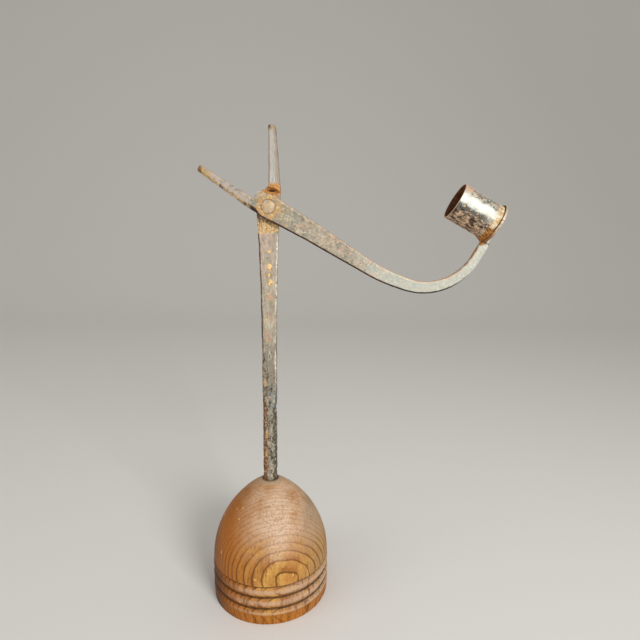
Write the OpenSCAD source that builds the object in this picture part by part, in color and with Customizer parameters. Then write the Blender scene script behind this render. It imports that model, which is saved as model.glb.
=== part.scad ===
// Rushlight holder: an iron rod, forged at its head into a pliers jaw and set in a turned wooden block.
// A second jaw swings on a rivet, and its long tail carries a candle socket that closes it by its weight.
// Millimetres, Z up, seen from -Y. The origin is the centre of the block's underside.
// The swinging arm is drawn shut, its jaw upright beside the fixed one, and then swung open at the rivet.

/* [Wooden block] */
// Diameter of the block over its foot band
foot_d = 73.6; // [66:0.2:82]
// Height of the plain foot band
band_h = 6.4; // [4:0.2:10]
// How far the foot band draws in towards the table
band_draw = 0.4; // [0:0.1:1.6]
// Height of the rounded shoulder above the foot band
shoulder_h = 3.7; // [3:0.1:5]
// Number of whole beads between the shoulder and the dome
bead_count = 2; // [1:1:3]
// Height of one bead
bead_h = 7.2; // [6:0.1:9]
// Depth of the grooves that part the beads
groove_depth = 1.1; // [0.7:0.1:1.8]
// How far the dome springs out past the grooves
dome_lip = 0.8; // [0.4:0.1:1.2]
// Height of the dome above the top groove
dome_h = 51.6; // [42:0.2:62]
// Fullness of the dome's crown
dome_rise = 2.02; // [1.7:0.01:2.4]
// Fullness of the dome's flank
dome_swell = 1.32; // [1.1:0.01:1.6]

/* [Iron rod] */
// Diameter of the round rod
rod_d = 8.9; // [7.5:0.1:10]
// Depth of the hole in the block that the rod is driven into
tang_depth = 48; // [30:1:60]
// Height at which the hammered flat starts
flat_z = 118; // [105:1:135]
// Length over which the round runs out into the flat
runout_len = 16; // [10:1:24]
// Thickness of the rod where the flat is fully formed
flat_t = 6.4; // [5.5:0.1:6.8]
// Width of the flat's head at the rivet
head_w = 13.8; // [12:0.1:16]
// How late the flat widens towards its head
head_flare = 3; // [1.5:0.1:3.6]
// Bevel radius of the hammered corners
corner_r = 0.9; // [0.4:0.1:1.3]

/* [Joint] */
// Height of the rivet above the table
pivot_z = 242; // [220:1:270]
// How far the jaw line stands to the right of the rod's centre
jaw_set = 0.5; // [0:0.1:1.4]
// Thickness of the rod's eye behind the joint
eye_t = 4.2; // [3.4:0.1:5]
// Thickness of the swinging arm
arm_t = 3.6; // [3:0.1:4.4]
// How far the square cheek of each half stands out beside its jaw's face
cheek_side = 5.6; // [4.5:0.1:6.2]
// How far the cheek stands up above the rivet
cheek_top = 9.9; // [8.5:0.1:11]
// Radius of the cheek's rounded corner
cheek_round = 3.2; // [1.5:0.1:4]
// Height of the ramp between the rod's cheek and the fixed jaw's face
ramp_h = 2.5; // [1:0.1:4]
// Diameter of the rivet
rivet_d = 6; // [4.5:0.1:6.6]
// Diameter of the rivet's hammered heads
rivet_head_d = 8; // [7.4:0.1:9.4]
// Height of the rivet's heads
rivet_head_h = 1.1; // [0.7:0.1:1.8]
// How far the arm is swung open from shut jaws, in degrees
open_angle = 59; // [0:1:80]

/* [Jaws] */
// Length of both jaws above the rivet
jaw_len = 44.7; // [38:0.1:55]
// Width of the fixed jaw at its tip
fixed_tip_w = 4.2; // [3:0.1:5.5]
// Width of the fixed jaw at its root
fixed_root_w = 6.6; // [5.5:0.1:6.8]
// Width of the swinging jaw at its tip
swing_tip_w = 3.8; // [3:0.1:5.5]
// Width of the swinging jaw at its root
swing_root_w = 6.4; // [5:0.1:6.8]
// Gap between the jaws' faces when they are shut
jaw_gap = 0.4; // [0.2:0.1:1.2]
// Bevel along the outer front edge of each jaw, at its root
jaw_bevel = 1.2; // [0.6:0.1:1.6]

/* [Swinging arm] */
// Distance from the rivet at which the eye has run out into the arm
neck_run = 28; // [22:1:40]
// Width of the arm at that place
neck_w = 11.5; // [10:0.1:12.6]
// Width of the arm at the end of its straight run
arm_mid_w = 8.9; // [7:0.1:10]
// Width of the arm at the candle socket
arm_end_w = 5.8; // [4.8:0.1:6.6]
// How far the arm's centre line stands to the right of the rivet
arm_shift = 0.7; // [0:0.1:1.2]
// Straight run of the arm below the rivet
arm_run = 65.2; // [50:0.1:80]
// Radius of the arm's easy first bend
first_bend_r = 112; // [80:1:160]
// Turn of the first bend, in degrees
first_turn = 14; // [8:0.5:20]
// Radius of the arm's hooked second bend
second_bend_r = 33.5; // [28:0.5:42]
// Heading of the arm's end, in degrees from straight down
end_heading = 92; // [84:0.5:95]
// Thickness of the tab that lies under the socket's disc
tab_t = 1.4; // [1:0.1:2]
// Width of that tab
tab_w = 7; // [5:0.1:9]
// How far the tab runs past the candle's axis
tab_past = 3; // [1:0.5:6]

/* [Candle socket] */
// Distance of the candle's axis from the jaw line
socket_reach = 59.5; // [54:0.1:66]
// Outer diameter of the socket's tube
socket_d = 21.6; // [18:0.1:24]
// Thickness of the sheet that the tube is rolled from
sheet_t = 0.8; // [0.5:0.05:1.5]
// Length of the tube
socket_len = 25.6; // [18:0.1:34]
// Width of the open seam down the tube, on the arm's side
seam_w = 0.5; // [0.3:0.1:1]
// How far the disc stands out round the tube
disc_rim = 1.1; // [0.8:0.1:2.5]
// Thickness of the disc
disc_t = 1.7; // [1:0.1:2.2]
// How far the disc's top lies below the arm's upper edge
disc_drop = 0.8; // [0:0.1:1.1]
// Leg of the brazed fillet between tube, disc and arm
braze_leg = 3.4; // [2.4:0.1:3.8]
// How far round the tube the fillet runs, in degrees
braze_turn = 130; // [60:5:180]

/* [Hidden] */
$fn = 96;

// Clearances: a driven or running fit on the radius, between sliding faces, and round the joint
fit_gap = 0.05;
lap_gap = 0.1;
joint_gap = 0.35;

// How far the hammered length of the rod starts inside the round rod's surface
hammer_step = 0.06;

// The block's levels, from the table up
foot_r = foot_d / 2;
groove_r = foot_r - groove_depth;
dome_r = groove_r + dome_lip;
beads_z = band_h + shoulder_h;
dome_z = beads_z + bead_count * bead_h;
crown_z = dome_z + dome_h;
tang_z = crown_z - tang_depth;

// Depths at the joint: the rod's flat front face lies behind the arm's back face
lap_y = -flat_t / 2 + 1;
eye_back_y = lap_y + eye_t;
arm_back_y = lap_y - lap_gap;
arm_front_y = arm_back_y - arm_t;
arm_y = (arm_front_y + arm_back_y) / 2;
jaw_t = eye_back_y - arm_front_y;
jaw_y = (eye_back_y + arm_front_y) / 2;

// Outside these circles round the rivet, each jaw has its full depth clear of the other half's cheek
cheek_corner = [cheek_side - cheek_round, cheek_top - cheek_round];
ramp_top = [jaw_gap / 2, cheek_top + ramp_h];
joint_r = norm(cheek_corner) + cheek_round + joint_gap;
back_joint_r = max(joint_r, norm(ramp_top) + joint_gap);

// The arm's centre line: a straight run, an easy bend and a hooked bend that ends square to the candle
first_len = first_bend_r * first_turn * PI / 180;
second_len = second_bend_r * (end_heading - first_turn) * PI / 180;
first_end = [arm_shift + first_bend_r * (1 - cos(first_turn)), -arm_run - first_bend_r * sin(first_turn)];
second_bend = [cos(first_turn) - cos(end_heading), sin(first_turn) - sin(end_heading)];
bend_end = first_end + second_bend_r * second_bend;

// Along the arm's end: its tail stops under the disc's rim
end_lean = end_heading - 90;
disc_r = socket_d / 2 + disc_rim;
seat_run = (socket_reach - bend_end[0]) / cos(end_lean);
tail_len = max(1, seat_run - socket_d / 2);
arm_len = arm_run + first_len + second_len + tail_len;

// Radius of the arc that swells from a groove to a bead's crest
function bead_radius(half_h) = (half_h * half_h + groove_depth * groove_depth) / (2 * groove_depth);

// Points of a bead's arc round its middle height, from one angle to another
function bead_arc(mid_z, half_h, low_share, high_share, steps = 10) =
    let (r = bead_radius(half_h), reach = asin(half_h / r))
    [for (i = [0 : steps])
        let (a = reach * (low_share + (high_share - low_share) * i / steps))
        [foot_r - r + r * cos(a), mid_z + r * sin(a)]];

// Points of the dome, from its lip to its crown
function dome_curve(steps = 36) =
    [for (i = [0 : steps])
        let (a = 90 * i / steps)
        [dome_r * pow(cos(a), 2 / dome_swell), dome_z + dome_h * pow(sin(a), 2 / dome_rise)]];

// A rounded rectangle with 24 points, which is a circle when the radius is half of both sides
function section(w, d, r) =
    [for (corner = [0 : 3], i = [0 : 5])
        let (a = 90 * corner + 15 * (i + 0.5), sx = corner == 0 || corner == 3 ? 1 : -1, sy = corner < 2 ? 1 : -1)
        [sx * (w / 2 - r) + r * cos(a), sy * (d / 2 - r) + r * sin(a)]];

// A ring of points across an upright bar
function upright_ring(z, x, y, w, d, r) = [for (p = section(w, d, r)) [x + p[0], y + p[1], z]];

// A ring of points across the arm, square to its centre line
function arm_ring(at, w) =
    [for (p = section(w, arm_t, corner_r))
        [at[0] + p[0] * cos(at[2]), arm_y - p[1], at[1] + p[0] * sin(at[2])]];

// Place and heading of the arm's centre line at a distance from the rivet
function arm_at(s) =
    let (b = s - arm_run, c = b - first_len, e = c - second_len)
    b <= 0 ? [arm_shift * min(1, s / neck_run), -s, 0]
    : c <= 0 ? let (a = first_turn * b / first_len)
        [arm_shift + first_bend_r * (1 - cos(a)), -arm_run - first_bend_r * sin(a), a]
    : e <= 0 ? let (a = first_turn + (end_heading - first_turn) * c / second_len)
        [first_end[0] + second_bend_r * (cos(first_turn) - cos(a)),
         first_end[1] - second_bend_r * (sin(a) - sin(first_turn)), a]
    : [bend_end[0] + e * cos(end_lean), bend_end[1] + e * sin(end_lean), end_heading];

// Width of the arm at a distance from the rivet
function arm_width(s) =
    lookup(s, [[0, head_w], [neck_run, neck_w], [arm_run, arm_mid_w], [arm_len - tail_len, arm_end_w]]);

// Width of the rod's flat at a height
function flat_width(z) =
    let (share = (z - flat_z) / (pivot_z - flat_z))
    rod_d + (head_w - rod_d) * pow(share, head_flare);

// A solid skinned over rings of points that all have the same count
module loft(rings) {
    n = len(rings[0]);
    top = n * (len(rings) - 1);
    sides = [for (k = [0 : len(rings) - 2], i = [0 : n - 1])
        let (j = (i + 1) % n, low = k * n, high = low + n)
        each [[low + i, high + i, high + j], [low + i, high + j, low + j]]];
    caps = [[for (i = [0 : n - 1]) i], [for (i = [n - 1 : -1 : 0]) top + i]];
    polyhedron(points = [for (ring = rings) each ring], faces = concat(sides, caps));
}

// Moves its children from the arm's shut position, centred on the rivet, to the place shown
module swung() {
    translate([jaw_set, 0, pivot_z]) rotate([0, -open_angle, 0]) children();
}

// Moves its children onto the disc's seat at the arm's end, with Z along the candle
module seated() {
    swung() translate([bend_end[0], arm_y, bend_end[1]]) rotate([0, -end_lean, 0])
        translate([seat_run, 0, arm_end_w / 2 - disc_drop - disc_t]) children();
}

// A round bar along Y, centred on the rivet's axis
module cross_bar(r, y_from, y_to) {
    translate([0, y_to, 0]) rotate([90, 0, 0]) cylinder(r = r, h = y_to - y_from);
}

// A flat plate along Y, whose outline is drawn as X and Z round the rivet
module cross_plate(y_from, y_to) {
    translate([0, y_to, 0]) rotate([90, 0, 0]) linear_extrude(y_to - y_from) children();
}

// The outline of one half's eye and cheek: side is 1 where the cheek stands to the right
module cheek(side) {
    circle(d = head_w);
    mirror([side == 1 ? 0 : 1, 0]) {
        translate(cheek_corner) circle(r = cheek_round);
        translate([-jaw_gap, 0]) square([cheek_side + jaw_gap, cheek_corner[1]]);
        translate([-jaw_gap, 0]) square([cheek_corner[0] + jaw_gap, cheek_top]);
    }
}

// One jaw, from the rivet to its tip: side is 1 for the right-hand jaw and -1 for the left-hand one
// The points of its outer front corner stand apart by a bevel, which tapers as the jaw does
module jaw(side, root_w, tip_w) {
    tip_round = 0.9;
    face = jaw_gap / 2;
    corner_from = side == 1 ? 18 : 12;
    function width(z) = root_w + (tip_w - root_w) * max(0, z - joint_r) / (jaw_len - joint_r);
    function bevel_shift(k, size) =
        k < 0 || k > 5 ? [0, 0, 0] : (k < 3) == (side == 1) ? [-side * size, 0, 0] : [0, size, 0];
    function jaw_ring(z, trim) =
        let (w = width(z) - 2 * trim, r = min(corner_r, 0.2 * w), size = jaw_bevel * w / root_w,
             ring = upright_ring(z, side * (face + width(z) / 2), jaw_y, w, jaw_t - 2 * trim, r))
        [for (i = [0 : 23]) ring[i] + bevel_shift(i - corner_from, size)];
    loft([jaw_ring(0, 0), jaw_ring(joint_r, 0), jaw_ring(jaw_len - tip_round, 0),
          jaw_ring(jaw_len - tip_round / 3, tip_round / 4), jaw_ring(jaw_len, tip_round * 0.7)]);
}

// The turned block, bored for the rod
module base() {
    outline = concat(
        [[0, 0], [foot_r - band_draw, 0]],
        bead_arc(band_h, shoulder_h, 0, 1),
        [for (i = [0 : bead_count - 1]) each bead_arc(beads_z + bead_h * (i + 0.5), bead_h / 2, -1, 1)],
        dome_curve());
    color("#6f4a2f") difference() {
        rotate_extrude() polygon(outline);
        translate([0, 0, tang_z]) cylinder(d = rod_d + 2 * fit_gap, h = tang_depth + 1);
    }
}

// The round rod, hammered flat at its front, with the eye and the fixed jaw forged in one with it
module stem() {
    eye_foot_z = pivot_z - head_w / 2;
    runout_z = flat_z + runout_len;
    function ease(t) = t * t * (3 - 2 * t);
    function blend(a, b, t) = a + (b - a) * t;
    function back_y(z) = blend(lap_y + flat_t, eye_back_y, min(1, (z - runout_z) / (eye_foot_z - runout_z)));
    start_d = rod_d - 2 * hammer_step;
    round_ring = function (z) upright_ring(z, 0, 0, start_d, start_d, start_d / 2);
    flat_ring = function (z)
        upright_ring(z, 0, (lap_y + back_y(z)) / 2, flat_width(z), back_y(z) - lap_y, corner_r);
    runout_steps = 6;
    flat_steps = 12;
    color("#5d5149") difference() {
        union() {
            translate([0, 0, tang_z]) cylinder(d = rod_d, h = flat_z - tang_z);
            loft([for (i = [0 : runout_steps])
                let (z = flat_z + runout_len * i / runout_steps, t = ease(i / runout_steps))
                blend(round_ring(z), flat_ring(z), t)]);
            loft([for (i = [0 : flat_steps])
                flat_ring(runout_z + (eye_foot_z - runout_z) * i / flat_steps), flat_ring(pivot_z)]);
            translate([jaw_set, 0, pivot_z]) {
                cross_plate(lap_y, eye_back_y) {
                    cheek(-1);
                    polygon([[-cheek_corner[0], cheek_top], ramp_top, [fixed_root_w / 2, cheek_top], [0, 0]]);
                }
                jaw(1, fixed_root_w, fixed_tip_w);
            }
        }
        translate([jaw_set, 0, pivot_z]) {
            cross_bar(joint_r, arm_front_y - 1, lap_y);
            cross_bar(rivet_d / 2 + fit_gap, arm_front_y - 1, eye_back_y + 1);
        }
    }
}

// The rivet, hammered over on the arm in front and on the rod's eye behind
module pivot_rivet() {
    front_y = arm_front_y - lap_gap;
    cap_r = (pow(rivet_head_d / 2, 2) + pow(rivet_head_h, 2)) / (2 * rivet_head_h);
    module head() {
        intersection() {
            translate([0, 0, rivet_head_h - cap_r]) sphere(r = cap_r);
            cylinder(d = rivet_head_d, h = 2 * rivet_head_h);
        }
    }
    color("#6b5648") translate([jaw_set, 0, pivot_z]) {
        cross_bar(rivet_d / 2, front_y, eye_back_y);
        translate([0, front_y, 0]) rotate([90, 0, 0]) head();
        translate([0, eye_back_y, 0]) rotate([-90, 0, 0]) head();
    }
}

// The swinging jaw, its eye and the long hooked tail, forged in one, with the tab for the socket
module arm() {
    arm_steps = 48;
    tab_from = -seat_run + tail_len - disc_rim;
    tab_round = tab_past - tab_w / 2;
    color("#6a5c50") difference() {
        union() {
            swung() {
                cross_plate(arm_front_y, arm_back_y) cheek(1);
                loft([for (i = [0 : arm_steps])
                    let (s = arm_len * i / arm_steps)
                    arm_ring(arm_at(s), arm_width(s))]);
                difference() {
                    jaw(-1, swing_root_w, swing_tip_w);
                    cross_bar(back_joint_r, arm_back_y, eye_back_y + 1);
                }
            }
            seated() translate([0, 0, -tab_t]) linear_extrude(tab_t) {
                translate([tab_from, -tab_w / 2]) square([tab_round - tab_from, tab_w]);
                translate([tab_round, 0]) circle(d = tab_w);
            }
        }
        swung() cross_bar(rivet_d / 2 + fit_gap, arm_front_y - 1, arm_back_y + 1);
        seated() cylinder(r = disc_r + fit_gap, h = socket_len);
    }
}

// The sheet-iron disc that closes the socket, butted against the arm and resting on its tab
module socket_disc() {
    color("#8b7a68") seated() cylinder(r = disc_r, h = disc_t);
}

// The rolled tube that holds the candle, with its seam on the arm's side
module candle_socket() {
    color("#8f8a83") seated() translate([0, 0, disc_t]) difference() {
        cylinder(d = socket_d, h = socket_len);
        translate([0, 0, -1]) cylinder(d = socket_d - 2 * sheet_t, h = socket_len + 2);
        translate([-socket_d, -seam_w / 2, -1]) cube([socket_d, seam_w, socket_len + 2]);
    }
}

// The fillet of brazing that holds the tube and the disc to the arm's end
module socket_braze() {
    inner_r = socket_d / 2 + fit_gap;
    hollow = [for (i = [0 : 6])
        let (a = 15 * i)
        [inner_r + braze_leg * (1 - sin(a)), braze_leg * (1 - cos(a))]];
    heel = 0.3;
    color("#b0763a") seated() translate([0, 0, disc_t]) intersection() {
        rotate([0, 0, 180 - braze_turn / 2]) rotate_extrude(angle = braze_turn) polygon(concat(
            [[inner_r, 0], [inner_r + braze_leg + heel, 0]],
            [for (p = hollow) p + [heel, heel]],
            [[inner_r, braze_leg + heel]]));
        union() {
            cylinder(r = disc_r, h = 2 * braze_leg);
            translate([-inner_r - 2 * braze_leg, -arm_t / 2, disc_drop + fit_gap])
                cube([2 * braze_leg, arm_t, 2 * braze_leg]);
        }
    }
}

base();
stem();
pivot_rivet();
arm();
socket_disc();
candle_socket();
socket_braze();
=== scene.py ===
"""Rushlight holder: an iron rod in a turned wooden block, with a fixed jaw and a swinging jaw on a rivet.
The swinging jaw's long tail hooks up and carries a candle socket.
Metres, Z up, seen from -Y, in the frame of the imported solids."""
import bpy, bmesh, math
import numpy as np
from mathutils import Matrix, Vector


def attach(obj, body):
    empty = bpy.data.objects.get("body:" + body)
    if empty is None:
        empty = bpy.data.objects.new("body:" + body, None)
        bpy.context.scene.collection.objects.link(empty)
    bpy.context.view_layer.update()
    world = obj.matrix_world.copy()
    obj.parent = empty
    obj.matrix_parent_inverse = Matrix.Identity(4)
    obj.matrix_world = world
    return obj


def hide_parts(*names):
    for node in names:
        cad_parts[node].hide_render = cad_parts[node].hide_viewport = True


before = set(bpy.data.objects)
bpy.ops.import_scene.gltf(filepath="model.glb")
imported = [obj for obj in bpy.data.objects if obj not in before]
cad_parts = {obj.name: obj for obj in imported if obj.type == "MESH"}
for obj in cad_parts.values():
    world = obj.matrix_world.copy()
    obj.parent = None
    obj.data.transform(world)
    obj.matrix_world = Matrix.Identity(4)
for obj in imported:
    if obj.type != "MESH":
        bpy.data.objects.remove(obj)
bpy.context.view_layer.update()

# The view of the photograph. A phone's wide lens is held close in front of the rod, level with the candle
# socket's foot, and looks a little down on the block.
view_data = bpy.data.cameras.new("photo_view")
view_data.lens = 27.0
view_data.sensor_width = 36.0
view_data.clip_start = 0.01
view = bpy.data.objects.new("photo_view", view_data)
look_down = Matrix.Rotation(math.radians(80.7), 4, "X") @ Matrix.Rotation(math.radians(0.5), 4, "Z")
view.matrix_world = Matrix.Translation((0.030604, -0.28578, 0.22269)) @ look_down
bpy.context.scene.collection.objects.link(view)
bpy.context.scene.camera = view

# The turned block. It is one piece of a ring-porous wood such as ash, turned with a domed top over two
# beads and a shoulder, bored down its axis for the rod, stained, waxed and worn pale on its crests.
MM = 0.001
FOOT_R, BAND_H, BAND_DRAW, SHOULDER_H = 36.8, 6.4, 0.4, 3.7
BEAD_COUNT, BEAD_H, GROOVE = 2, 7.2, 1.1
DOME_LIP, DOME_H, DOME_RISE, DOME_SWELL = 0.8, 51.6, 2.02, 1.32
ROD_R, BORE_DEPTH, DRIVE_GAP = 4.45, 48.0, 0.05
DOME_Z = BAND_H + SHOULDER_H + BEAD_COUNT * BEAD_H


def bead_arc(mid_z, half_h, low, steps=14):
    """Points of one bead's arc, from a share of its half height below the middle up to its top."""
    r = (half_h ** 2 + GROOVE ** 2) / (2 * GROOVE)
    reach = math.asin(half_h / r)
    turns = [reach * (low + (1 - low) * i / steps) for i in range(steps + 1)]
    return [(FOOT_R - r + r * math.cos(a), mid_z + r * math.sin(a)) for a in turns]


def block_outline():
    """The block's outline from the middle of its underside, up the outside, and down the bore."""
    dome_r = FOOT_R - GROOVE + DOME_LIP
    crown_z = DOME_Z + DOME_H
    bore_r = ROD_R + DRIVE_GAP
    points = [((FOOT_R - BAND_DRAW) * i / 12, 0.0) for i in range(13)]
    points += [(FOOT_R - BAND_DRAW * (1 - i / 8), BAND_H * i / 8) for i in range(1, 8)]
    points += bead_arc(BAND_H, SHOULDER_H, 0)
    for i in range(BEAD_COUNT):
        points += bead_arc(BAND_H + SHOULDER_H + BEAD_H * (i + 0.5), BEAD_H / 2, -1)[1:]
    for i in range(121):
        a = math.pi / 2 * i / 120
        r = dome_r * math.cos(a) ** (2 / DOME_SWELL)
        if r < bore_r:
            break
        points.append((r, DOME_Z + DOME_H * math.sin(a) ** (2 / DOME_RISE)))
    top_z = points[-1][1]
    points += [(bore_r, top_z - (top_z - crown_z + BORE_DEPTH) * i / 30) for i in range(31)]
    points += [(bore_r * (1 - i / 3), crown_z - BORE_DEPTH) for i in range(1, 4)]
    return points


def linear(hex_colour):
    """An sRGB hex colour as the linear values that the shaders take."""
    parts = [int(hex_colour[i:i + 2], 16) / 255 for i in (1, 3, 5)]
    return [p / 12.92 if p <= 0.04045 else ((p + 0.055) / 1.055) ** 2.4 for p in parts] + [1.0]


def add(tree, kind, *values, out=0, **settings):
    """Adds a node with its settings, sets or links its inputs, in order or from a dictionary by name,
    and gives back one of its outputs."""
    made = tree.nodes.new(kind)
    for name, value in settings.items():
        setattr(made, name, value)
    for place, value in enumerate(values):
        for key, given in (value if isinstance(value, dict) else {place: value}).items():
            if isinstance(given, bpy.types.NodeSocket):
                tree.links.new(given, made.inputs[key])
            else:
                made.inputs[key].default_value = given
    return made.outputs[out] if len(made.outputs) else made


def new_finish(name):
    """A new material, its tree, and the Object coordinates that its patterns read."""
    made = bpy.data.materials.new(name)
    made.use_nodes = True
    return made, made.node_tree, add(made.node_tree, "ShaderNodeTexCoord", out="Object")


def speckle(tree, at, size_mm, stretch=(1, 1, 1), shift=0.0, detail=4.0):
    """Uneven grain about size_mm across, longer where stretch is under 1, as values round 0.5."""
    moved = (shift, 2 * shift, 0)
    placed = add(tree, "ShaderNodeMapping", {"Vector": at, "Scale": stretch, "Location": moved})
    return add(tree, "ShaderNodeTexNoise", {
        "Vector": placed, "Scale": 1 / (size_mm * MM), "Detail": detail, "Roughness": 0.6})


def zone(tree, *limits):
    """A mask: the product of its limits. A limit is a share, a mask, or a measure with the value at which
    the zone starts and the value at which it is full."""
    mask = None
    for limit in limits:
        if isinstance(limit, tuple):
            limit = add(tree, "ShaderNodeMapRange", *limit, interpolation_type="SMOOTHSTEP")
        mask = limit if mask is None else add(tree, "ShaderNodeMath", mask, limit, operation="MULTIPLY")
    return mask


def spots(tree, at, marks, rag=0.4):
    """Ragged spots: 1 in the middle of each and 0 past its half sizes, both in millimetres."""
    grain = add(tree, "ShaderNodeTexNoise", {"Vector": at, "Scale": 650.0, "Detail": 3.0}, out=1)
    torn = add(tree, "ShaderNodeVectorMath", grain, (2 * rag,) * 3, (-rag,) * 3, operation="MULTIPLY_ADD")
    mask = 0.0
    for centre, half in marks:
        shares = [1 / (h * MM) for h in half]
        off = add(tree, "ShaderNodeVectorMath", at, [c * MM for c in centre], operation="SUBTRACT")
        off = add(tree, "ShaderNodeVectorMath", off, shares, torn, operation="MULTIPLY_ADD")
        gap = add(tree, "ShaderNodeVectorMath", off, operation="LENGTH", out="Value")
        mask = add(tree, "ShaderNodeMath", mask, zone(tree, (gap, 1.05, 0.45)), operation="MAXIMUM")
    return mask


def lay_coats(tree, ground, rough, metal, coats):
    """Lays coats over a ground colour. A coat is its colour, strength and dullness, and the limits of its
    zone. Roughness and bareness of metal run from their first value, clean, to their second, dull."""
    shader = tree.nodes["Principled BSDF"]
    colour, dull = linear(ground), 0.0
    for coat_colour, strength, dullness, *limits in coats:
        share = zone(tree, strength, *limits)
        mixed = {0: share, 6: colour, 7: linear(coat_colour)}
        colour = add(tree, "ShaderNodeMix", mixed, out=2, data_type="RGBA")
        dull = add(tree, "ShaderNodeMix", {0: share, 2: dull, 3: dullness})
    tree.links.new(colour, shader.inputs["Base Color"])
    tree.links.new(add(tree, "ShaderNodeMapRange", dull, 0.0, 1.0, *rough), shader.inputs["Roughness"])
    if metal:
        tree.links.new(add(tree, "ShaderNodeMapRange", dull, 0.0, 1.0, *metal), shader.inputs["Metallic"])


def raise_marks(tree, height_mm, marks):
    """Gives the surface relief. A mark is a measure and the share of the height that it raises, or sinks."""
    height = 0.0
    for measure, share in marks:
        height = add(tree, "ShaderNodeMath", measure, share, height, operation="MULTIPLY_ADD")
    bump = add(tree, "ShaderNodeBump", {"Height": height, "Strength": 0.6, "Distance": height_mm * MM})
    tree.links.new(bump, tree.nodes["Principled BSDF"].inputs["Normal"])


# Stained and waxed ash. The late wood of each year shows as a thin dark line and the early wood is golden.
# Dust and wear turn the crests and the crown pale and pinkish, with a painted highlight on their fronts, and
# the left side is painted darker and more orange as shade.
PITH_AT, PITH_LEAN = (-12.0, 33.0, 30.0), (0.116, 0.100)
RINGS = ((0, 0), (30, 16.2), (65.0, 38), (66.8, 39), (68.4, 40), (69.8, 41), (71.0, 42), (78.0, 48))
RING_REACH, RING_COUNT = 80.0, 60.0
WAVE, RIPPLE = 0.8, 0.2

wood, tree, at = new_finish("stained_waxed_ash")
x, y, z = add(tree, "ShaderNodeSeparateXYZ", at).node.outputs
pith_foot = [(place - lean * PITH_AT[2]) * MM for place, lean in zip(PITH_AT, PITH_LEAN)] + [0.0]
pith = add(tree, "ShaderNodeVectorMath", z, (*PITH_LEAN, 1.0), pith_foot, operation="MULTIPLY_ADD")
far = add(tree, "ShaderNodeVectorMath", at, pith, operation="SUBTRACT")
far = add(tree, "ShaderNodeVectorMath", far, operation="LENGTH", out="Value")
for size_mm, swing_mm in ((24, WAVE), (4, RIPPLE)):
    sway = speckle(tree, at, size_mm, detail=2.0)
    far = add(tree, "ShaderNodeMath", sway, swing_mm * MM, far, operation="MULTIPLY_ADD")
mean_sway = (WAVE + RIPPLE) / 2 * MM
far = add(tree, "ShaderNodeMapRange", far, mean_sway, mean_sway + RING_REACH * MM)
# A curve turns the distance from the pith into a count of years, because the years' widths vary
years = add(tree, "ShaderNodeFloatCurve", {"Value": far})
curve = years.node.mapping.curves[0]
while len(curve.points) < len(RINGS):
    curve.points.new(0.5, 0.5)
for point, (r_mm, count) in zip(curve.points, RINGS):
    point.location = (r_mm / RING_REACH, count / RING_COUNT)
    point.handle_type = "VECTOR"
years.node.mapping.update()
counted = add(tree, "ShaderNodeMath", years, RING_COUNT, operation="MULTIPLY")
from_line = add(tree, "ShaderNodeMath", counted, 0.5, operation="PINGPONG")
year = add(tree, "ShaderNodeMath", counted, operation="FRACT")
radius = add(tree, "ShaderNodeVectorMath", at, (1.0, 1.0, 0.0), operation="MULTIPLY")
radius = add(tree, "ShaderNodeVectorMath", radius, operation="LENGTH", out="Value")
breaks = speckle(tree, at, 8, (1, 1, 0.5), detail=2.0)
cloud = speckle(tree, at, 11)
fibre = speckle(tree, at, 1.5, (1, 1, 0.10))
pores = speckle(tree, at, 0.8, (1, 1, 0.20), 0.2)
turning = speckle(tree, at, 0.9, (0.06, 0.06, 1))
fleck = speckle(tree, at, 1.3, shift=0.4)
line_w = add(tree, "ShaderNodeMapRange", breaks, 0.3, 0.7, 0.11, 0.22)
# The innermost years are cut almost flat, which would draw their lines wide
thinned = add(tree, "ShaderNodeMapRange", far, 68.0 / RING_REACH, 71.2 / RING_REACH, 1.0, 0.42)
line = zone(tree, (from_line, zone(tree, line_w, thinned), 0.02))
on_beads = zone(tree, (z, (DOME_Z + 0.7) * MM, (DOME_Z - 0.5) * MM))
above_foot = zone(tree, (z, 0.0058, 0.0075))
crown = zone(tree, (z, 0.034, 0.056), (x, -0.024, -0.002))
# A painted highlight on the dome's front
painted_highlight = spots(tree, at, [((6.0, -20.0, 58.0), (12, 17, 16)), ((7.0, -28.0, 46.0), (7, 12, 12))], 0.5)
scratches = spots(tree, at, [
    ((-15.5, -14.7, 61.4), (0.5, 1.2, 1.3)), ((-19.6, -12.3, 59.3), (0.5, 1.0, 0.9)),
    ((-8.9, -13.3, 66.6), (0.5, 0.9, 0.9)), ((-28.8, -4.2, 50.9), (0.6, 1.2, 1.4)),
    ((-17.4, -18.5, 56.4), (0.7, 0.9, 0.7)), ((-28.3, -20.8, 35.9), (0.7, 0.9, 1.5)),
    ((-15.1, -33.3, 12.4), (0.7, 0.7, 0.6)), ((1.8, -35.7, 32.7), (1.6, 1.0, 0.4)),
    ((-5.7, -35.8, 28.8), (1.1, 1.0, 0.7)), ((35.8, -7.4, 17.2), (1.4, 1.4, 1.2)),
    ((16.1, -32.4, 29.7), (0.5, 0.7, 1.3))])
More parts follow.
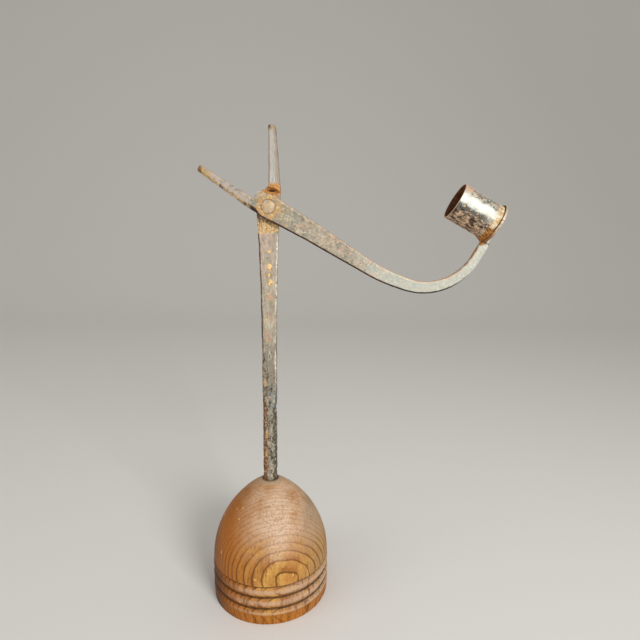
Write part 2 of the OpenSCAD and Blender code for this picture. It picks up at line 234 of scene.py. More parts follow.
lay_coats(tree, "#c08645", (0.45, 0.62), None, (
    ("#935722", 0.60, 0.2, (year, 0.30, 0.95)),
    ("#daa956", 0.60, 0.0, (cloud, 0.46, 0.64), (z, 0.056, 0.034)),
    ("#85491a", 0.60, 0.3, (fibre, 0.48, 0.70)),
    # Painted shade: the left side darker and more orange, darkest at its edge
    ("#b4691f", 0.85, 0.2, (x, -0.002, -0.026)),
    ("#753604", 0.70, 0.3, (x, -0.027, -0.036)),
    ("#a88a5c", 0.60, 0.6, (x, 0.016, 0.034)),
    # The crown is dusty, pinkish and scuffed, with a painted highlight on its front
    ("#d6b293", 0.92, 0.8, crown, (cloud, 0.74, 0.44)),
    ("#a37f5c", 0.45, 0.8, crown, (fleck, 0.50, 0.68)),
    ("#b58f68", 0.40, 0.8, crown, (turning, 0.48, 0.66)),
    ("#e4cbb0", 0.60, 0.5, painted_highlight, (fleck, 0.68, 0.38)),
    ("#8b8069", 0.45, 0.8, crown, (x, 0.016, 0.026)),
    # The years' lines, drawn strongly low on the front and scuffed away towards the crown
    ("#875527", 0.28, 0.2, line),
    ("#5a3010", 0.72, 0.2, line, (z, 0.050, 0.032), (z, 0.0050, 0.0075)),
    ("#6a3a12", 0.50, 0.4, (pores, 0.56, 0.68)),
    ("#f0d193", 0.50, 0.0, (fleck, 0.64, 0.74)),
    # Rubbed pale on the crests of the beads, with painted highlight towards their front and right, dark with
    # old wax and dirt in the grooves
    ("#d3ab8a", 0.88, 0.3, on_beads, above_foot, (radius, 0.03630, 0.03676), (x, -0.030, -0.004),
     (breaks, 0.16, 0.46)),
    ("#bba58e", 0.50, 0.6, on_beads, above_foot, (x, 0.004, 0.022), (fibre, 0.60, 0.42)),
    ("#7a4720", 0.66, 0.4, on_beads, above_foot, (speckle(tree, at, 3.0, (1, 1, 0.4)), 0.52, 0.66)),
    ("#3c1f0a", 0.80, 0.6, on_beads, (radius, 0.03622, 0.03580), (z, 0.0085, 0.0095)),
    ("#a45f1b", 0.85, 0.2, (z, 0.0070, 0.0056)),
    ("#c48235", 0.60, 0.1, (z, 0.0066, 0.0052), (fibre, 0.54, 0.40)),
    ("#5c2e0a", 0.50, 0.2, (z, 0.0066, 0.0052), line),
    ("#5c2e0a", 0.60, 0.3, (z, 0.0070, 0.0056), (speckle(tree, at, 3.0, (1, 1, 0.3)), 0.49, 0.64)),
    # Painted shade on the lower left, over the beads and the foot
    ("#4a2407", 0.75, 0.3, (z, 0.0240, 0.0220), (x, -0.016, -0.034)),
    # The rod's rust has stained the wood round it
    ("#b09a7c", 0.60, 0.8, (radius, 0.0085, 0.0066), (z, 0.070, 0.072)),
    ("#57442f", 0.80, 0.8, (radius, 0.0060, 0.0049), (z, 0.070, 0.072)),
    ("#ecbd68", 0.85, 0.3, scratches)))
# The stain has drunk most of the wax in, so the wood mirrors less than bare wax would
tree.nodes["Principled BSDF"].inputs["Specular IOR Level"].default_value = 0.18
raise_marks(tree, 0.12, ((line, 0.2), (fibre, 0.25), (pores, -0.4), (turning, 0.15)))

# The lathe: a tree that carries the outline round the axis, closes it, and wears it with soft dents
lathe = bpy.data.node_groups.new("lathe_turning", "GeometryNodeTree")


def name_inputs(tree, result, **kinds):
    """Names a geometry tree's inputs and its result, and gives back the inputs' sockets."""
    for name, kind in kinds.items():
        tree.interface.new_socket(name.replace("_", " "), in_out="INPUT", socket_type="NodeSocket" + kind)
    tree.interface.new_socket(result, in_out="OUTPUT", socket_type="NodeSocketGeometry")
    return add(tree, "NodeGroupInput").node.outputs


def end_tree(tree, shape, finish):
    """Ends a geometry tree with a real mesh that has its material."""
    solid = add(tree, "GeometryNodeRealizeInstances", shape)
    finished = add(tree, "GeometryNodeSetMaterial", {"Geometry": solid, "Material": finish})
    add(tree, "NodeGroupOutput", finished)


def press_in(tree, shape, depth):
    """Presses a shape's skin inwards by a depth."""
    way = add(tree, "GeometryNodeInputNormal")
    way = add(tree, "ShaderNodeVectorMath", way, {"Scale": depth}, operation="SCALE")
    way = add(tree, "ShaderNodeVectorMath", way, (-1.0, -1.0, -1.0), operation="MULTIPLY")
    return add(tree, "GeometryNodeSetPosition", {"Geometry": shape, "Offset": way})


given = name_inputs(lathe, "Turned", Outline="Geometry", Steps_Round="Int", Steps_Along="Int",
                    Dent_Size="Float", Dent_Depth="Float", Finish="Material")
sheet = add(lathe, "GeometryNodeMeshGrid", 1.0, 1.0, given["Steps Round"], given["Steps Along"])
place = add(lathe, "ShaderNodeSeparateXYZ", add(lathe, "GeometryNodeInputPosition")).node.outputs
turn = add(lathe, "ShaderNodeMath", place[0], 2 * math.pi, operation="MULTIPLY")
share = add(lathe, "ShaderNodeMath", place[1], 0.5, operation="ADD")
path = add(lathe, "GeometryNodeMeshToCurve", given["Outline"])
along = {"Curves": path, "Factor": share}
point = add(lathe, "GeometryNodeSampleCurve", along, out="Position", mode="FACTOR")
place = add(lathe, "ShaderNodeSeparateXYZ", point).node.outputs
wall = [add(lathe, "ShaderNodeMath", turn, operation=how) for how in ("COSINE", "SINE")]
round_place = add(lathe, "ShaderNodeCombineXYZ", *[zone(lathe, place[0], way) for way in wall], place[2])
wrapped = add(lathe, "GeometryNodeSetPosition", {"Geometry": sheet, "Position": round_place})
closed = add(lathe, "GeometryNodeMergeByDistance", {"Geometry": wrapped, "Distance": 0.005 * MM})
often = add(lathe, "ShaderNodeMath", 1.0, given["Dent Size"], operation="DIVIDE")
dents = add(lathe, "ShaderNodeTexNoise", {"Scale": often, "Detail": 2.0})
depth = add(lathe, "ShaderNodeMath", dents, given["Dent Depth"], operation="MULTIPLY")
end_tree(lathe, press_in(lathe, closed, depth), given["Finish"])


def run_tree(name, mesh, tree, values, before=()):
    """Puts a node tree on a mesh, after any other modifiers, and gives back the plain mesh that comes out."""
    made = bpy.data.objects.new(name + "_work", mesh)
    bpy.context.scene.collection.objects.link(made)
    for kind, settings in before:
        step = made.modifiers.new(kind, kind)
        for key, value in settings.items():
            setattr(step, key, value)
    if tree:
        worker = made.modifiers.new("tree", "NODES")
        worker.node_group = tree
        sockets = {s.name: s.identifier for s in tree.interface.items_tree if s.in_out == "INPUT"}
        for key, value in values.items():
            worker[sockets[key]] = value
    bpy.context.view_layer.update()
    out = bpy.data.meshes.new_from_object(made.evaluated_get(bpy.context.evaluated_depsgraph_get()))
    out.name = name
    bpy.data.objects.remove(made)
    return out


def outline_mesh(name, points):
    """A line of edges through points given as radius and height in millimetres."""
    made = bpy.data.meshes.new(name)
    steps = [(i, i + 1) for i in range(len(points) - 1)]
    made.from_pydata([(r * MM, 0, h * MM) for r, h in points], steps, [])
    return made


def dent(mesh, marks):
    """Presses hollows into a mesh along its normals. A mark is its centre, half sizes and depth, in mm."""
    count = len(mesh.vertices)
    skin, out = np.empty(count * 3), np.empty(count * 3)
    mesh.vertices.foreach_get("co", skin)
    mesh.vertex_normals.foreach_get("vector", out)
    skin, out = skin.reshape(-1, 3) / MM, out.reshape(-1, 3)
    for centre, half, depth_mm in marks:
        near = np.clip(1 - (((skin - centre) / half) ** 2).sum(1), 0, 1) ** 1.5
        skin -= out * (near * depth_mm)[:, None]
    mesh.vertices.foreach_set("co", (skin * MM).ravel())
    mesh.update()


def place_piece(name, mesh, body, stands_for, crease=35):
    """Makes a finished piece at the origin, shades it smooth with creases, and fixes it to its body."""
    shell = bmesh.new()
    shell.from_mesh(mesh)
    bmesh.ops.recalc_face_normals(shell, faces=shell.faces)
    if shell.calc_volume(signed=True) < 0:
        bmesh.ops.reverse_faces(shell, faces=shell.faces)
    for face in shell.faces:
        face.smooth = True
    for edge in shell.edges:
        edge.smooth = len(edge.link_faces) != 2 or edge.calc_face_angle(0) < math.radians(crease)
    shell.to_mesh(mesh)
    shell.free()
    made = bpy.data.objects.new(name, mesh)
    bpy.context.scene.collection.objects.link(made)
    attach(made, body)
    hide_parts(stands_for)


block_mesh = run_tree("turned_block", outline_mesh("block_outline", block_outline()), lathe, {
    "Steps Round": 261, "Steps Along": 381, "Dent Size": 9 * MM, "Dent Depth": 0.25 * MM, "Finish": wood})
dent(block_mesh, [
    ((36.3, -7.4, 17.3), (1.6, 2.4, 1.4), 0.8), ((-28.3, -20.8, 35.9), (1.5, 1.8, 2.2), 0.25),
    ((30.0, 21.5, 9.5), (2.2, 2.6, 1.6), 0.7), ((-20.0, 30.5, 24.8), (2.4, 2.0, 1.2), 0.6),
    ((-8.0, -36.0, 3.0), (2.0, 1.5, 1.4), 0.3), ((14.0, 33.9, 3.5), (3.0, 2.0, 2.0), 0.5)])
place_piece("turned_block", block_mesh, "stand", "base")

# The iron rod. A smith drew it down from one bar: round and pitted where it stands in the block, hammered
# flat from half its height, and forged at its head into the joint's rear half with the fixed jaw above it.
PIVOT = Vector((0.0005, -0.0041, 0.242))
FRONT_Y = -2.2

# The smith's finish: a tree that presses soft hammer facets and rust pits into a skin, always inwards, so
# that nothing grows past its true size, and that leaves the sliding faces round the rivet alone
forging = bpy.data.node_groups.new("forged_skin", "GeometryNodeTree")
given = name_inputs(forging, "Forged", Bar="Geometry", Facet_Size="Float", Facet_Depth="Float",
                    Pit_Size="Float", Pit_Depth="Float", Pits_Below="Float", Seed="Vector", Finish="Material")
where = add(forging, "GeometryNodeInputPosition")
moved = add(forging, "ShaderNodeVectorMath", where, given["Seed"], operation="ADD")
marks = []
for size, low, high in (("Facet Size", 0.30, 0.70), ("Pit Size", 0.46, 0.68)):
    often = add(forging, "ShaderNodeMath", 1.0, given[size], operation="DIVIDE")
    grain = add(forging, "ShaderNodeTexNoise", {"Vector": moved, "Scale": often, "Detail": 2.5})
    marks.append(zone(forging, (grain, low, high)))
height = add(forging, "ShaderNodeSeparateXYZ", where, out="Z")
fade_end = add(forging, "ShaderNodeMath", given["Pits Below"], 20 * MM, operation="ADD")
pitted = add(forging, "ShaderNodeMapRange", height, given["Pits Below"], fade_end, 1.0, 0.12)
from_pivot = add(forging, "ShaderNodeVectorMath", where, PIVOT, operation="SUBTRACT")
from_pivot = add(forging, "ShaderNodeVectorMath", from_pivot, (1.0, 0.0, 1.0), operation="MULTIPLY")
from_pivot = add(forging, "ShaderNodeVectorMath", from_pivot, operation="LENGTH", out="Value")
calm = add(forging, "ShaderNodeMapRange", from_pivot, 9 * MM, 16 * MM, 0.15, 1.0)
pit_depth = zone(forging, marks[1], given["Pit Depth"], pitted)
depth = add(forging, "ShaderNodeMath", marks[0], given["Facet Depth"], pit_depth, operation="MULTIPLY_ADD")
end_tree(forging, press_in(forging, given["Bar"], zone(forging, depth, calm)), given["Finish"])


def forged(name, node_name, grain_mm, values, smoothing=4, marks=()):
    """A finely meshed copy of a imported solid, with worn arrises, the smith's finish and single marks."""
    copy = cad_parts[node_name].data.copy()
    whole = bmesh.new()
    whole.from_mesh(copy)
    bmesh.ops.remove_doubles(whole, verts=whole.verts, dist=0.0001 * MM)
    whole.to_mesh(copy)
    whole.free()
    before = (("REMESH", {"mode": "VOXEL", "voxel_size": grain_mm * MM, "adaptivity": 0.0}),
              ("SMOOTH", {"factor": 0.5, "iterations": smoothing}))
    mesh = run_tree(name, copy, forging, values, before)
    dent(mesh, marks)
    # How far each point stands out from its neighbours: 1 on an arris, 0 in a hollow, 0.5 on a flat
    count = len(mesh.vertices)
    skin, out = np.empty(count * 3), np.empty(count * 3)
    mesh.vertices.foreach_get("co", skin)
    mesh.vertex_normals.foreach_get("vector", out)
    skin, out = skin.reshape(-1, 3), out.reshape(-1, 3)
    pairs = np.empty(len(mesh.edges) * 2, dtype=np.int64)
    mesh.edges.foreach_get("vertices", pairs)
    pairs = pairs.reshape(-1, 2)
    ends = np.bincount(pairs.ravel(), minlength=count)

    def neighbours(measure):
        """The mean of each point's neighbours."""
        return sum(np.bincount(pairs[:, i], measure[pairs[:, 1 - i]], count) for i in (0, 1)) / ends

    middle = np.stack([neighbours(skin[:, i]) for i in range(3)], 1)
    stands = ((skin - middle) * out).sum(1) / (grain_mm * MM)
    for _ in range(3):
        stands = 0.5 * stands + 0.5 * neighbours(stands)
    worn = mesh.attributes.new("worn", "FLOAT", "POINT")
    worn.data.foreach_set("value", np.clip(0.5 + 4.0 * stands, 0, 1).astype(np.float32))
    # Which way the skin faces, averaged over about a millimetre, so that an edge's finish reaches round it
    for _ in range(14):
        out = 0.5 * out + 0.5 * np.stack([neighbours(out[:, i]) for i in range(3)], 1)
    faces = mesh.attributes.new("faces", "FLOAT_VECTOR", "POINT")
    faces.data.foreach_set("vector", out.astype(np.float32).ravel())
    return mesh


# Forged iron, rubbed by hands on the flats: a warm grey under a thin pinkish film. Black-brown oxide and rust
# sit in the pits and, with painted shade, on the left side; the right arris is pale from rubbing and a
# painted highlight.
rod_iron, tree, at = new_finish("forged_iron_rod")
x, y, z = add(tree, "ShaderNodeSeparateXYZ", at).node.outputs
faces = add(tree, "ShaderNodeAttribute", out="Vector", attribute_name="faces")
side, rear, lid = add(tree, "ShaderNodeSeparateXYZ", faces).node.outputs
worn = add(tree, "ShaderNodeAttribute", out="Fac", attribute_name="worn")
broad = speckle(tree, at, 9, (1, 1, 0.6))
middle = speckle(tree, at, 2.6, (1, 1, 0.6))
fine = speckle(tree, at, 1.1)
drawn = speckle(tree, at, 1.2, (1, 1, 0.15))
pitting = speckle(tree, at, 2.0, (1, 1, 0.5), 0.4)
grit = speckle(tree, at, 1.2, (1, 1, 0.7), 0.7)
# The round part runs up further on the left than on the right, where the flat ends in a tongue
tongue = add(tree, "ShaderNodeMapRange", x, 1.7 * MM, -4.5 * MM, 0.0, 27 * MM)
above = add(tree, "ShaderNodeMath", z, tongue, operation="SUBTRACT")
above = add(tree, "ShaderNodeMath", middle, 6 * MM, above, operation="MULTIPLY_ADD")
low_part = zone(tree, (above, 0.1400, 0.1350))
flat_part = zone(tree, (above, 0.1350, 0.1400))
in_front = zone(tree, (rear, 0.2, -0.2))
ragged_z = add(tree, "ShaderNodeMath", broad, 9 * MM, z, operation="MULTIPLY_ADD")
band = zone(tree, in_front, (ragged_z, 0.2308, 0.2326), (z, 0.2370, 0.2335))
blisters = spots(tree, at, [
    ((0.5, FRONT_Y, 207.4), (1.7, 2, 2.7)), ((-0.1, FRONT_Y, 202.8), (1.2, 2, 1.6)),
    ((1.1, FRONT_Y, 198.3), (1.5, 2, 2.7)), ((-0.6, FRONT_Y, 191.6), (0.7, 2, 0.8)),
    ((0.4, FRONT_Y, 216.6), (1.2, 2, 1.0)), ((-1.6, FRONT_Y, 176.0), (0.6, 2, 0.9))])
film = spots(tree, at, [((-1.0, FRONT_Y, 166.0), (3.4, 2, 6.0)), ((1.2, FRONT_Y, 178.0), (2.4, 2, 5.0)),
                        ((0.8, FRONT_Y, 189.0), (2.8, 2, 3.0))], 0.6)
tan_patches = spots(tree, at, [((-2.6, -3.2, 137.5), (1.2, 3, 5.0)), ((-1.6, -3.9, 104.0), (1.3, 2, 3.0)),
                               ((-2.2, -3.9, 92.0), (1.2, 2, 2.4))], 0.6)
slit = spots(tree, at, [((2.4, -3.2, 251.0), (3.0, 3, 0.95))], 0.25)
lay_coats(tree, "#b8ae9b", (0.48, 0.82), (0.35, 0.0), (
    ("#c8ae9f", 0.85, 0.2, (z, 0.190, 0.218), (broad, 0.34, 0.56)),
    ("#8a8375", 0.85, 0.3, (z, 0.172, 0.150)),
    ("#9a907f", 0.65, 0.3, (middle, 0.54, 0.38)),
    ("#dbcfb6", 0.65, 0.1, (drawn, 0.52, 0.66)),
    ("#6a5b48", 0.60, 0.6, (fine, 0.42, 0.32)),
    ("#e6d6b8", 0.60, 0.1, (fine, 0.60, 0.70)),
    ("#d3a583", 0.70, 0.5, film, (drawn, 0.38, 0.56)),
    ("#c3bfb4", 0.90, 0.0, (z, 0.2535, 0.2555)),
    ("#a7aaa6", 0.60, 0.0, (z, 0.2535, 0.2555), (x, 0.0028, 0.0040)),
    # The sides: grey-brown on the right, black-brown scale with rust in it and painted shade on the left,
    # dull at the back
    ("#7b6a58", 0.90, 0.6, (side, 0.10, 0.45), (middle, 0.68, 0.42)),
    ("#33241a", 0.97, 0.8, (side, -0.08, -0.34), (middle, 0.80, 0.54), (z, 0.2560, 0.2530)),
    ("#a5682f", 0.75, 1.0, (side, -0.08, -0.40), (fine, 0.50, 0.62), (z, 0.2560, 0.2530)),
    ("#9c8a72", 0.80, 0.5, (side, -0.08, -0.34), (z, 0.2530, 0.2560)),
    ("#66503d", 0.85, 0.8, (rear, 0.2, 0.7), (middle, 0.26, 0.60)),
    # The round part: dark, with a painted grey and blue-grey highlight down its middle, rust-brown to its
    # left, black pits and pale grit
    ("#57503f", 1.00, 0.6, low_part),
    ("#a29d90", 0.85, 0.2, low_part, (side, -0.62, -0.12), (side, 0.75, 0.35), (middle, 0.34, 0.54)),
    ("#7c8584", 0.45, 0.1, low_part, (side, -0.40, 0.0), (z, 0.117, 0.124), (z, 0.139, 0.131)),
    ("#81502a", 0.85, 1.0, low_part, (side, 0.0, -0.5), (broad, 0.36, 0.58)),
    ("#2a1f17", 0.90, 0.9, low_part, (pitting, 0.52, 0.62)),
    ("#cbb795", 0.80, 0.6, low_part, (grit, 0.57, 0.66)),
    ("#cf9656", 0.85, 1.0, low_part, (side, 0.25, -0.3), (fine, 0.54, 0.63)),
    ("#cba06a", 0.90, 1.0, tan_patches, (fine, 0.36, 0.50)),
    ("#3a2c20", 0.75, 0.8, flat_part, (z, 0.176, 0.160), (grit, 0.44, 0.36)),
    # The right arris: pale from wear and a painted highlight
    ("#f6ead0", 0.95, 0.0, (worn, 0.56, 0.70), (side, -0.02, 0.16), flat_part, (drawn, 0.40, 0.54),
     (z, 0.2500, 0.2480)),
    ("#e8dcc2", 0.45, 0.0, (worn, 0.56, 0.74), low_part, (grit, 0.46, 0.60)),
    # The fixed jaw's bevel keeps a pinkish film, and its tip is rubbed tan
    ("#b8a490", 0.80, 0.4, (z, 0.2535, 0.2555), (side, 0.30, 0.55), (rear, -0.2, -0.5)),
    ("#a98d68", 0.90, 0.6, (z, 0.2822, 0.2850), (fine, 0.34, 0.56)),
    ("#4c3420", 0.85, 0.9, (z, 0.2835, 0.2856), (x, 0.0030, 0.0016)),
    # Rust: a band under the joint, topped by a dark strip that is partly rust and partly painted shadow of
    # the arm, blisters on the flat, and the orange place where the jaws cross
    ("#d2ab72", 0.85, 0.7, band, (middle, 0.36, 0.50)),
    ("#f3d79c", 0.85, 0.7, band, (fine, 0.47, 0.57)),
    ("#b06c2a", 0.80, 0.9, band, (grit, 0.54, 0.62)),
    # Partly rust, partly painted shadow below the arm's lower edge
    ("#7d563a", 0.85, 0.9, in_front, (z, 0.2305, 0.2335), (z, 0.2400, 0.2380), (fine, 0.58, 0.46)),
    ("#dea048", 0.92, 0.9, (blisters, 0.05, 0.40)),
    ("#fbe3ac", 0.92, 0.8, (blisters, 0.35, 0.75), (fine, 0.40, 0.54)),
    ("#7c4a17", 0.85, 1.0, blisters, (fine, 0.43, 0.35)),
    ("#c07c2c", 0.92, 1.0, in_front, (z, 0.2440, 0.2470), (z, 0.2560, 0.2536), (middle, 0.28, 0.44)),
    ("#f0c070", 0.85, 0.9, in_front, (z, 0.2440, 0.2462), (z, 0.2560, 0.2530), (fine, 0.49, 0.60)),
    ("#a89c88", 0.80, 0.4, in_front, (z, 0.2440, 0.2470), (z, 0.2500, 0.2485), (x, 0.0042, 0.0058)),
    ("#4a2606", 0.95, 1.0, slit)))
raise_marks(tree, 0.25, ((middle, 0.5), (fine, 0.5), (blisters, 0.9)))

# Knocks along the rod's arrises, and the chisel's cuts at the fixed jaw's foot
knocks = np.random.default_rng(7)
rod_marks = [((way * (4.5 + 0.028 * max(0.0, h - 134.0)), -2.3, h), (0.9, 1.6, knocks.uniform(1.2, 3.4)),
              knocks.uniform(0.3, 0.65))
             for way in (-1, 1) for h in np.arange(138.0, 228.0, 4.5) + knocks.uniform(-1.8, 1.8, 20)]
rod_marks += [((2.6, -6.0, 256.6), (0.4, 1.0, 1.6), 0.4), ((4.6, -6.0, 257.4), (0.35, 1.0, 1.8), 0.4),
              ((1.6, -6.0, 255.4), (1.2, 1.0, 0.4), 0.4)]
rod_mesh = forged("forged_rod", "stem", 0.34, {
    "Facet Size": 7 * MM, "Facet Depth": 0.22 * MM, "Pit Size": 2.6 * MM, "Pit Depth": 0.6 * MM,
    "Pits Below": 118 * MM, "Seed": (0.0, 0.0, 0.0), "Finish": rod_iron}, marks=rod_marks)
place_piece("forged_rod", rod_mesh, "stand", "stem", crease=60)

# The swinging arm. One forging again: the second jaw, the joint's front half, and a flat tail that tapers,
# hooks up and ends under the candle socket, whose weight shuts the jaws.
# Its iron is rubbed smooth. Pinkish film lies in patches on the tail, the hook is pale and greenish grey, and
# painted shade on the faces that look down draws a dark line along the lower arris.
arm_iron, tree, at = new_finish("forged_iron_arm")
x, y, z = add(tree, "ShaderNodeSeparateXYZ", at).node.outputs
faces = add(tree, "ShaderNodeAttribute", out="Vector", attribute_name="faces")
side, rear, lid = add(tree, "ShaderNodeSeparateXYZ", faces).node.outputs
worn = add(tree, "ShaderNodeAttribute", out="Fac", attribute_name="worn")
broad = speckle(tree, at, 8)
middle = speckle(tree, at, 3.0)
fine = speckle(tree, at, 1.3)
grit = speckle(tree, at, 1.9, shift=0.3)
from_pivot = add(tree, "ShaderNodeVectorMath", at, PIVOT, operation="SUBTRACT")
from_pivot = add(tree, "ShaderNodeVectorMath", from_pivot, (1.0, 0.0, 1.0), operation="MULTIPLY")
from_pivot = add(tree, "ShaderNodeVectorMath", from_pivot, operation="LENGTH", out="Value")
front = zone(tree, (rear, -0.70, -0.92))
hook = zone(tree, (x, 0.046, 0.066))
jaw = zone(tree, (x, -0.0090, -0.0120))
# Painted shade on the faces that look down
under = zone(tree, (lid, -0.10, -0.26), (x, 0.124, 0.104))
ring = zone(tree, (from_pivot, 0.0090, 0.0052), (from_pivot, 0.0041, 0.0044))
film = spots(tree, at, [
    ((37.0, -5.9, 223.0), (7.5, 4, 5.0)), ((45.0, -5.9, 217.5), (5.5, 4, 3.5)),
    ((24.0, -5.9, 232.5), (3.5, 4, 5.0)), ((56.0, -5.9, 211.0), (6.0, 4, 2.4)),
    ((18.0, -5.9, 231.0), (5.0, 4, 2.4)), ((103.0, -5.9, 203.0), (7.0, 4, 1.6)),
    ((68.0, -5.9, 207.5), (5.0, 4, 2.0))], 0.9)
streak = spots(tree, at, [((123.2, -5.9, 223.2), (2.6, 2.4, 2.6))])
pit = spots(tree, at, [((127.9, -5.9, 221.6), (1.2, 1.5, 0.9))], 0.3)
lay_coats(tree, "#a69d8b", (0.52, 0.82), (0.35, 0.0), (
    ("#bab09a", 0.70, 0.2, (middle, 0.42, 0.58)),
    ("#8a8980", 0.60, 0.1, (broad, 0.52, 0.40)),
    ("#b9a06c", 0.60, 0.6, (from_pivot, 0.022, 0.012), (grit, 0.48, 0.58)),
    ("#c5c6b9", 0.90, 0.1, hook, (broad, 0.26, 0.42)),
    ("#a9aea7", 0.45, 0.0, hook, (middle, 0.48, 0.64)),
    ("#cdb19a", 0.50, 0.3, hook, (grit, 0.50, 0.62), (broad, 0.46, 0.60)),
    ("#8a8374", 0.30, 0.3, hook, (fine, 0.40, 0.32)),
    ("#cba78c", 0.70, 0.6, film, (middle, 0.40, 0.56)),
    ("#c7ab91", 0.35, 0.5, (grit, 0.52, 0.62), (broad, 0.40, 0.56), (x, 0.080, 0.050)),
    ("#e6dac4", 0.55, 0.1, (fine, 0.55, 0.66)),
    ("#62543f", 0.62, 0.5, (fine, 0.43, 0.35), (x, 0.080, 0.050)),
    # The upper arris is thinly orange, the back brown, and the edges are rubbed pale in places
    ("#cfa27a", 0.75, 0.5, (lid, 0.16, 0.45), (middle, 0.32, 0.56)),
    ("#5f4a35", 0.50, 0.7, (lid, 0.30, 0.60), (x, 0.070, 0.040), (broad, 0.64, 0.40)),
    ("#715743", 0.85, 0.8, (rear, 0.3, 0.8), (middle, 0.26, 0.58)),
    ("#efdfc4", 0.60, 0.0, (worn, 0.62, 0.80), (lid, -0.05, 0.3), (middle, 0.38, 0.56)),
    ("#d9955f", 0.55, 0.7, (lid, -0.03, -0.14), (x, 0.084, 0.060), (fine, 0.44, 0.54)),
    # Painted shade along the underside
    ("#2c1c11", 0.97, 0.9, under, (middle, 0.84, 0.56)),
    # Rust runs round the rivet's head, along the swinging jaw's lower bevel and over its tip
    ("#cf9a56", 0.75, 0.8, front, ring, (middle, 0.40, 0.54)),
    ("#f0cf8c", 0.60, 0.8, front, ring, (fine, 0.52, 0.62)),
    ("#82592f", 0.75, 0.9, (from_pivot, 0.0045, 0.0041), (grit, 0.40, 0.52)),
    ("#c1b3a8", 0.85, 0.3, jaw, (middle, 0.38, 0.54)),
    ("#cbab88", 0.95, 0.8, jaw, (lid, -0.10, -0.30), (broad, 0.36, 0.54)),
    ("#ebd3a2", 0.88, 0.8, jaw, (lid, -0.10, -0.30), (fine, 0.48, 0.60)),
    ("#4a2f18", 0.85, 1.0, jaw, (lid, -0.16, -0.40), (speckle(tree, at, 5, shift=0.5), 0.44, 0.62)),
    ("#c7a46c", 0.88, 0.8, (x, -0.0290, -0.0350), (middle, 0.32, 0.50)),
    ("#6d4519", 0.80, 1.0, (x, -0.0360, -0.0378)),
    # Rust and painted shade run down the inner edge from the socket, and a dark pit lies at the arm's outer
    # corner
    ("#a8703a", 0.80, 1.0, (x, 0.100, 0.118), (side, -0.12, -0.45), (middle, 0.34, 0.56)),
    ("#96602a", 0.88, 1.0, streak),
    ("#d8954a", 0.80, 1.0, streak, (fine, 0.50, 0.60)),
    ("#2a221c", 0.95, 0.9, pit)))
raise_marks(tree, 0.10, ((middle, 0.5), (grit, 0.4), (pit, -1.0)))

# Chips along the swinging jaw's lower edge, and the pit at the arm's outer corner
OPEN_TURN = math.radians(59.0)
jaw_way = Vector((-math.sin(OPEN_TURN), 0.0, math.cos(OPEN_TURN)))
jaw_out = Vector((-jaw_way.z, 0.0, jaw_way.x))
arm_marks = [(tuple(PIVOT / MM + jaw_way * run + jaw_out * (6.75 - 0.075 * run) + Vector((0, -1.9, 0))),
              (knocks.uniform(0.8, 1.5), 1.8, knocks.uniform(0.8, 1.5)), knocks.uniform(0.3, 0.7))
             for run in np.arange(14.0, 43.0, 2.6) + knocks.uniform(-0.8, 0.8, 12)]
arm_marks += [((128.2, -5.6, 221.4), (1.5, 1.6, 1.1), 0.7)]
arm_mesh = forged("forged_arm", "arm", 0.30, {
    "Facet Size": 6 * MM, "Facet Depth": 0.12 * MM, "Pit Size": 1.8 * MM, "Pit Depth": 0.06 * MM,
    "Pits Below": 300 * MM, "Seed": (0.5, 0.2, 0.1), "Finish": arm_iron}, marks=arm_marks)
place_piece("forged_arm", arm_mesh, "swing_arm", "arm", crease=60)

# The rivet. A short iron pin through both eyes, hammered over into a low dome at each end, with rust in the
# line round its head and a pinkish film on it.
rivet_iron, tree, at = new_finish("hammered_rivet_iron")
from_pivot = add(tree, "ShaderNodeVectorMath", at, PIVOT, operation="SUBTRACT")
from_pivot = add(tree, "ShaderNodeVectorMath", from_pivot, (1.0, 0.0, 1.0), operation="MULTIPLY")
from_pivot = add(tree, "ShaderNodeVectorMath", from_pivot, operation="LENGTH", out="Value")
middle = speckle(tree, at, 1.5)
lay_coats(tree, "#bfa685", (0.52, 0.75), (0.25, 0.1), (
    ("#dcbb90", 0.85, 0.5, (middle, 0.42, 0.58)),
    ("#cfc3ae", 0.70, 0.1, (speckle(tree, at, 2.2, shift=0.2), 0.50, 0.62)),
    ("#8d6a3f", 0.80, 0.8, (from_pivot, 0.0033, 0.0039), (middle, 0.62, 0.44))))
raise_marks(tree, 0.2, ((middle, 1.0),))
rivet_mesh = forged("rivet", "pivot_rivet", 0.12, {
    "Facet Size": 2.2 * MM, "Facet Depth": 0.4 * MM, "Pit Size": 1.2 * MM, "Pit Depth": 0.15 * MM,
    "Pits Below": 300 * MM, "Seed": (0.1, 0.7, 0.3), "Finish": rivet_iron})
place_piece("rivet", rivet_mesh, "stand", "pivot_rivet", crease=60)

# The candle socket. Sheet iron is rolled into a tube, its seam towards the arm and closed to a hairline, and
# stands on a round disc. Its outside is rubbed bright, its inside is dark with old tallow and rust.
SOCKET_FOOT = Vector((0.129519, -0.0041, 0.233807))
SOCKET_AXIS = Vector((-0.87462, 0.0, 0.48481))
SOCKET_R, SHEET, SOCKET_LEN, SEAM = 10.8, 0.8, 25.6, 0.08
across_axis = Vector((0.0, 1.0, 0.0)).cross(SOCKET_AXIS)
on_seat = Matrix((across_axis, Vector((0.0, 1.0, 0.0)), SOCKET_AXIS)).transposed().to_4x4()
on_seat.translation = SOCKET_FOOT
off_seat = on_seat.inverted()


def seat_measures(tree, at):
    """The coordinates on the socket's seat, split in three, and the distance from the socket's axis."""
    local = add(tree, "ShaderNodeMapping", {
        "Vector": at, "Rotation": off_seat.to_euler(), "Location": off_seat.translation})
    out = add(tree, "ShaderNodeVectorMath", local, (1.0, 1.0, 0.0), operation="MULTIPLY")
    out = add(tree, "ShaderNodeVectorMath", out, operation="LENGTH", out="Value")
    return local, *add(tree, "ShaderNodeSeparateXYZ", local).node.outputs, out


